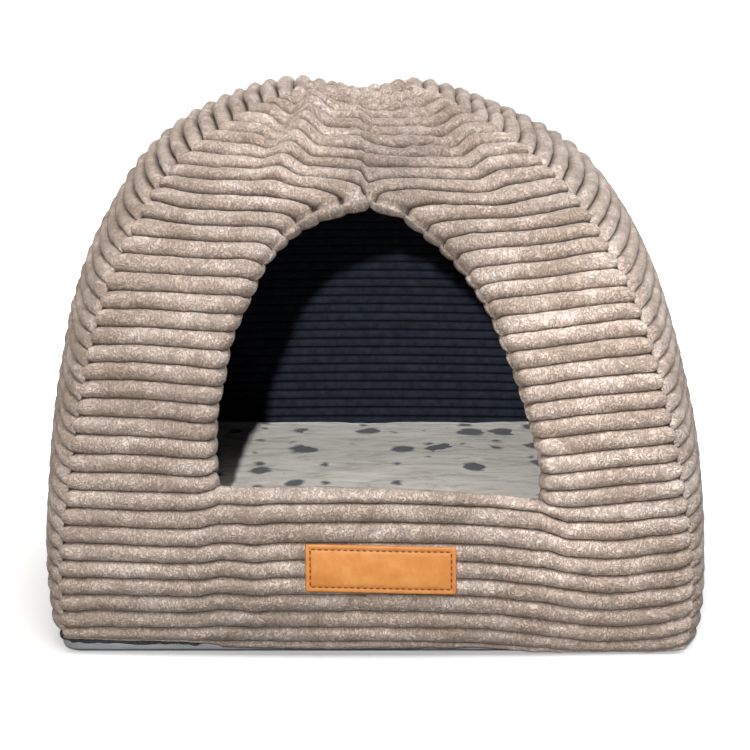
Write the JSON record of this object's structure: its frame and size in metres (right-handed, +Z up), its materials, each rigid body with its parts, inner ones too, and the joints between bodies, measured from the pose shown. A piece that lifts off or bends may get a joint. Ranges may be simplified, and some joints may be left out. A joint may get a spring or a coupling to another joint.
{
  "type": "pyramid cat bed",
  "caption": "Dome-like pyramid cat bed of padded ribbed cord with an arched door, navy lining, a thick spotted cushion and a flat base.",
  "frame": {"origin": "centre of the footprint, on the floor", "axes": "+Z up, the door faces -Y, +X to the right of someone who looks at the door"},
  "size_m": [0.4355, 0.4389, 0.3439],
  "materials": {
    "cord": "wide-rib cord plush",
    "lining": "fine ribbed plush",
    "base": "smooth coated cloth",
    "zip": "woven tape",
    "cushion": "short pile with dark spots",
    "patch": "smooth with a stitched border"
  },
  "bodies": {
    "root": {"front_panel": "cord", "right_panel": "cord", "back_panel": "cord", "left_panel": "cord", "lining_front": "lining", "lining_right": "lining", "lining_back": "lining", "lining_left": "lining", "base_pad": "base", "zip_strip": "zip", "cushion": "cushion", "patch": "patch"}
  },
  "joints": []
}
